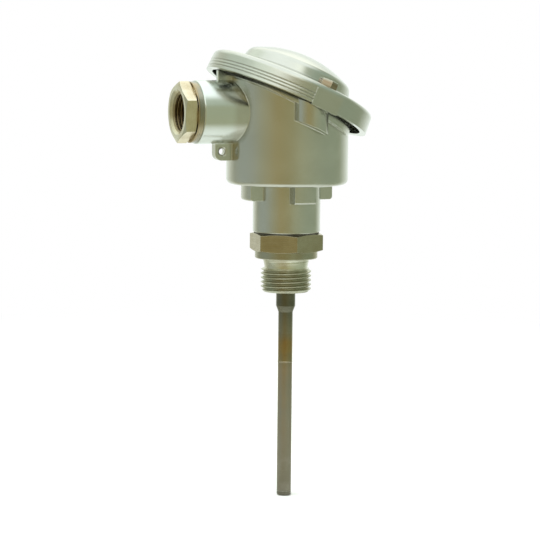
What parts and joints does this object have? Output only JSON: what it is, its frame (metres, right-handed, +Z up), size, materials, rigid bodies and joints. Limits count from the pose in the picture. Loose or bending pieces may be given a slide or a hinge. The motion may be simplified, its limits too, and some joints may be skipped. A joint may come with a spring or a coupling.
{
  "type": "resistance thermometer with connection head",
  "caption": "Screw-in resistance thermometer with a slim metal stem, a hexagon fitting and a die-cast connection head with an inclined domed cover and a cable entry.",
  "frame": {"origin": "centre of the process sealing face, the underside of the fitting's collar", "axes": "+Z up the probe axis from the tip towards the head, the cable entry points along -X, and the cover slopes down towards +X"},
  "size_m": [0.0825, 0.0716, 0.1872],
  "materials": {
    "cast_head": "satin die casting",
    "cast_cover": "satin die casting",
    "seal_rubber": "matte",
    "screw_metal": "nickel-plated, worn",
    "washer_metal": "plain",
    "reducer_metal": "nickel-plated",
    "inner_screw_metal": "zinc-plated",
    "probe_steel": "turned stainless",
    "plate_steel": "stainless",
    "ceramic": "unglazed ceramic",
    "spring_steel": "spring wire",
    "terminal_brass": "plain",
    "lead_sleeve": "insulated wire"
  },
  "bodies": {
    "head": {"head_body": "cast_head", "cable_reducer": "reducer_metal", "reducer_seal": "seal_rubber", "earth_screw": "inner_screw_metal", "process_fitting": "probe_steel", "neck_seal": "seal_rubber", "stem_tube": "probe_steel", "tip_tube": "probe_steel", "tip_plug": "probe_steel", "insert_screws": "inner_screw_metal", "insert_spring_front": "spring_steel", "insert_spring_rear": "spring_steel"},
    "cover": {"head_cover": "cast_cover", "cover_seal": "seal_rubber"},
    "front_washer": {"screw_washer_front": "washer_metal"},
    "front_screw": {"cover_screw_front": "screw_metal"},
    "rear_washer": {"screw_washer_rear": "washer_metal"},
    "rear_screw": {"cover_screw_rear": "screw_metal"},
    "insert": {"insert_plate": "plate_steel", "insert_tube": "plate_steel", "insulation_core": "ceramic", "sensor_element": "ceramic", "terminal_base": "ceramic", "terminal_1": "terminal_brass", "terminal_2": "terminal_brass", "terminal_3": "terminal_brass", "terminal_4": "terminal_brass", "terminal_screws": "inner_screw_metal", "lead_wires": "lead_sleeve"}
  },
  "joints": [
    {"name": "cover_lift", "type": "slide", "parent": "head", "child": "cover", "axis": [0.4051, 0, 0.9143], "range_m": [0, 0.03]},
    {"name": "front_screw_rise", "type": "slide", "parent": "cover", "child": "front_washer", "axis": [0.4051, 0, 0.9143], "range_m": [0, 0.006]},
    {"name": "front_screw_turn", "type": "hinge", "parent": "front_washer", "child": "front_screw", "pos_m": [0.00529, -0.0286, 0.0717], "axis": [0.4051, 0, 0.9143], "range_deg": [0, 3086]},
    {"name": "rear_screw_rise", "type": "slide", "parent": "cover", "child": "rear_washer", "axis": [0.4051, 0, 0.9143], "range_m": [0, 0.006]},
    {"name": "rear_screw_turn", "type": "hinge", "parent": "rear_washer", "child": "rear_screw", "pos_m": [0.00529, 0.0286, 0.0717], "axis": [0.4051, 0, 0.9143], "range_deg": [0, 3086]},
    {"name": "insert_float", "type": "slide", "parent": "head", "child": "insert", "axis": [0, 0, 1], "range_m": [0, 0.004], "stiffness_N_per_m": 1500, "springref_m": -0.004, "deforming": ["insert_spring_front", "insert_spring_rear"]}
  ],
  "couplings": [
    {"joint": "front_screw_turn", "follows": "front_screw_rise", "rad_per_m": 8976},
    {"joint": "rear_screw_turn", "follows": "rear_screw_rise", "rad_per_m": 8976}
  ]
}
